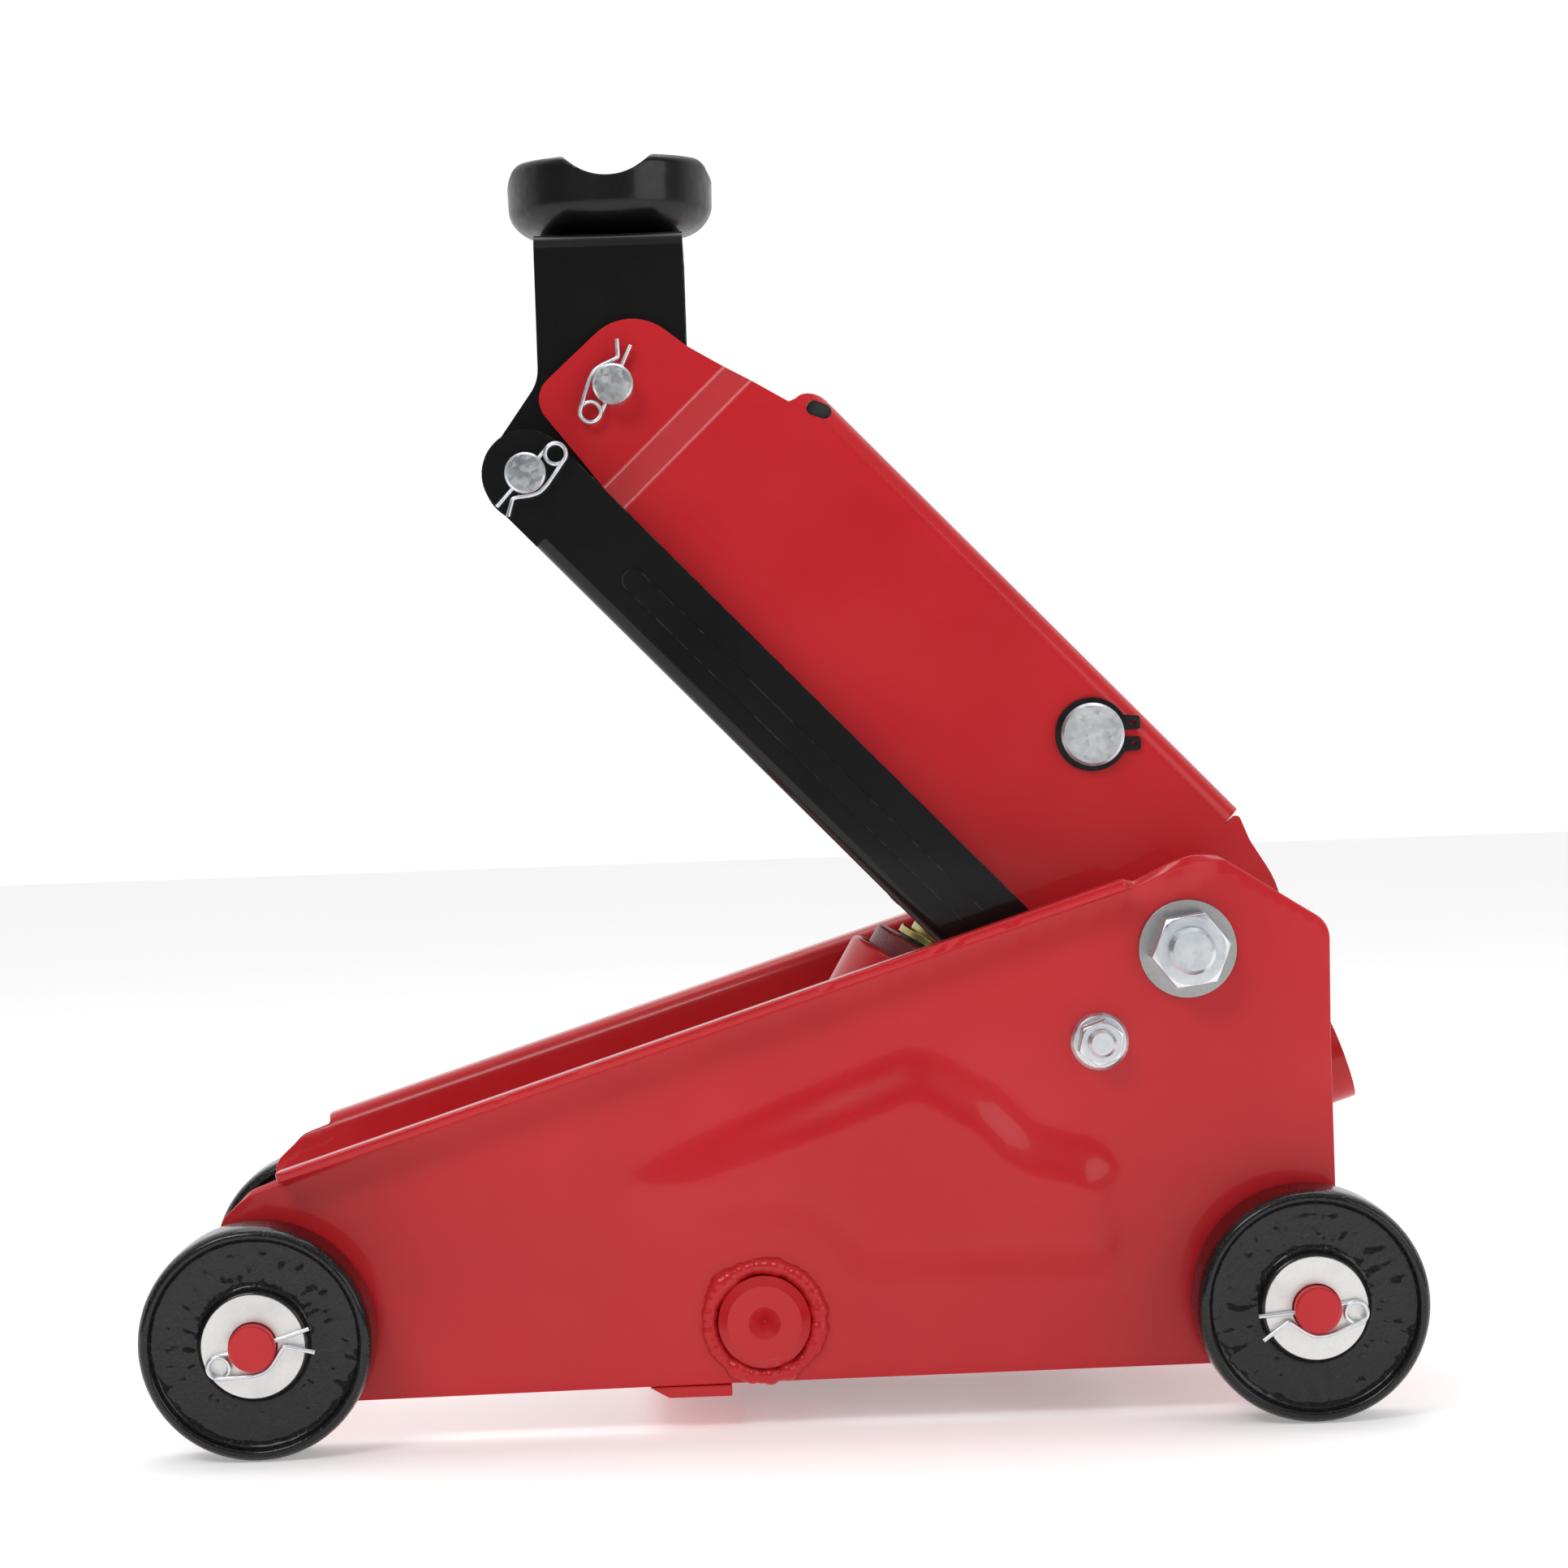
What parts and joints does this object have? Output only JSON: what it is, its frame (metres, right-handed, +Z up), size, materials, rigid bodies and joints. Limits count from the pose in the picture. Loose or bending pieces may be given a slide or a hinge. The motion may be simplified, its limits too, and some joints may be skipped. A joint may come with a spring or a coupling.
{
  "type": "hydraulic trolley jack",
  "caption": "Raised hydraulic trolley jack with side-plate frame, parallelogram lift arm, levelled saddle cup, swinging power unit, handle socket and cast wheels.",
  "frame": {"origin": "on the floor, midway between the axles and the side plates", "axes": "+Z up, +X towards the handle end, -Y the jack's left side"},
  "size_m": [0.551, 0.34, 0.563],
  "materials": {
    "red_paint": "gloss crimson enamel",
    "dark_red_casting": "rough cast, red enamel",
    "black_paint": "gloss black enamel on sheet",
    "black_casting": "gloss black enamel on rough casting",
    "zinc": "bright zinc plate",
    "yellow_zinc": "yellow zinc plate",
    "black_steel": "black phosphate",
    "seal": "black rubber"
  },
  "bodies": {
    "frame": {"side_plate_left": "red_paint", "side_plate_right": "red_paint", "trunnion_shaft": "red_paint", "trunnion_welds": "red_paint", "bottom_tie_plate": "red_paint", "rear_tie_plate": "red_paint", "front_axle": "red_paint", "front_axle_washers": "zinc", "front_axle_clips": "zinc", "rear_axle": "red_paint", "rear_axle_washers": "zinc", "rear_axle_clips": "zinc", "pivot_shaft": "zinc", "pivot_spacers": "zinc", "pivot_washers": "zinc", "pivot_nuts": "zinc", "link_bolts": "zinc", "link_spacers": "zinc", "link_nuts": "zinc"},
    "lift_arm": {"lift_arm": "red_paint", "fold_plugs": "seal", "arm_pivot_tube": "red_paint", "push_pin": "zinc", "push_circlips": "black_steel", "upper_pin": "zinc", "upper_pin_clips": "zinc"},
    "link_rods": {"link_rod_left": "black_paint", "link_rod_right": "black_paint"},
    "saddle_bracket": {"saddle_bracket": "black_paint", "lower_pin": "zinc", "lower_pin_clips": "zinc", "lower_spacers": "zinc"},
    "saddle_cup": {"saddle_cup": "black_casting", "saddle_bolt": "zinc"},
    "power_unit": {"power_unit_base": "dark_red_casting", "spring_lugs": "zinc", "reservoir_tube": "red_paint", "pressure_cylinder": "zinc", "cylinder_cap": "dark_red_casting", "tank_lid": "dark_red_casting", "gland_ring": "yellow_zinc", "wiper_seal": "seal", "pump_barrel": "zinc", "socket_pivot_pin": "zinc", "return_spring_left": "zinc", "return_spring_right": "zinc"},
    "ram": {"ram": "yellow_zinc", "ram_pad": "yellow_zinc", "ram_piston": "yellow_zinc"},
    "pump_plunger": {"pump_plunger": "zinc", "plunger_spring": "zinc"},
    "release_valve": {"release_valve": "zinc"},
    "handle_socket": {"handle_socket": "red_paint", "clamp_bolt": "zinc", "socket_roller": "zinc", "roller_pin": "zinc"},
    "wheel_front_left": {"wheel_front_left": "black_casting"},
    "wheel_front_right": {"wheel_front_right": "black_casting"},
    "wheel_rear_left": {"wheel_rear_left": "black_casting"},
    "wheel_rear_right": {"wheel_rear_right": "black_casting"}
  },
  "joints": [
    {"name": "arm_lift", "type": "hinge", "parent": "frame", "child": "lift_arm", "pos_m": [0.18, 0, 0.202], "axis": [0, 1, 0], "range_deg": [-59, 0], "deforming": ["return_spring_left", "return_spring_right"]},
    {"name": "link_swing", "type": "hinge", "parent": "frame", "child": "link_rods", "pos_m": [0.1407, 0, 0.163], "axis": [0, 1, 0], "range_deg": [-59, 0]},
    {"name": "saddle_level", "type": "hinge", "parent": "lift_arm", "child": "saddle_bracket", "pos_m": [-0.0613, 0, 0.4577], "axis": [0, 1, 0], "range_deg": [0, 59]},
    {"name": "saddle_swivel", "type": "hinge", "parent": "saddle_bracket", "child": "saddle_cup", "pos_m": [-0.0613, 0, 0.545], "axis": [0, 0, 1], "continuous": true},
    {"name": "power_unit_swing", "type": "hinge", "parent": "frame", "child": "power_unit", "pos_m": [-0.0087, 0, 0.0467], "axis": [0, 1, 0], "range_deg": [-4, 1]},
    {"name": "ram_slide", "type": "slide", "parent": "power_unit", "child": "ram", "axis": [0.5135, 0, 0.8581], "range_m": [-0.0975, 0.001]},
    {"name": "socket_pump", "type": "hinge", "parent": "power_unit", "child": "handle_socket", "pos_m": [0.1854, 0, 0.1188], "axis": [0, 1, 0], "range_deg": [-28, 6]},
    {"name": "plunger_slide", "type": "slide", "parent": "power_unit", "child": "pump_plunger", "axis": [-1, 0, 0], "range_m": [-0.0101, 0.0024], "deforming": ["plunger_spring"]},
    {"name": "release_turn", "type": "hinge", "parent": "power_unit", "child": "release_valve", "pos_m": [0.12, 0, 0.072], "axis": [1, 0, 0], "range_deg": [0, 180]},
    {"name": "wheel_front_left_roll", "type": "hinge", "parent": "frame", "child": "wheel_front_left", "pos_m": [-0.2255, 0, 0.05], "axis": [0, 1, 0], "continuous": true},
    {"name": "wheel_front_right_roll", "type": "hinge", "parent": "frame", "child": "wheel_front_right", "pos_m": [-0.2255, 0, 0.05], "axis": [0, 1, 0], "continuous": true},
    {"name": "wheel_rear_left_roll", "type": "hinge", "parent": "frame", "child": "wheel_rear_left", "pos_m": [0.2255, 0, 0.05], "axis": [0, 1, 0], "continuous": true},
    {"name": "wheel_rear_right_roll", "type": "hinge", "parent": "frame", "child": "wheel_rear_right", "pos_m": [0.2255, 0, 0.05], "axis": [0, 1, 0], "continuous": true}
  ],
  "couplings": [
    {"joint": "link_swing", "follows": "arm_lift", "ratio": 1},
    {"joint": "saddle_level", "follows": "arm_lift", "ratio": -1},
    {"joint": "power_unit_swing", "follows": "arm_lift", "ratio": 0.0597},
    {"joint": "ram_slide", "follows": "arm_lift", "m_per_rad": 0.0935},
    {"joint": "plunger_slide", "follows": "socket_pump", "m_per_rad": 0.0204}
  ]
}
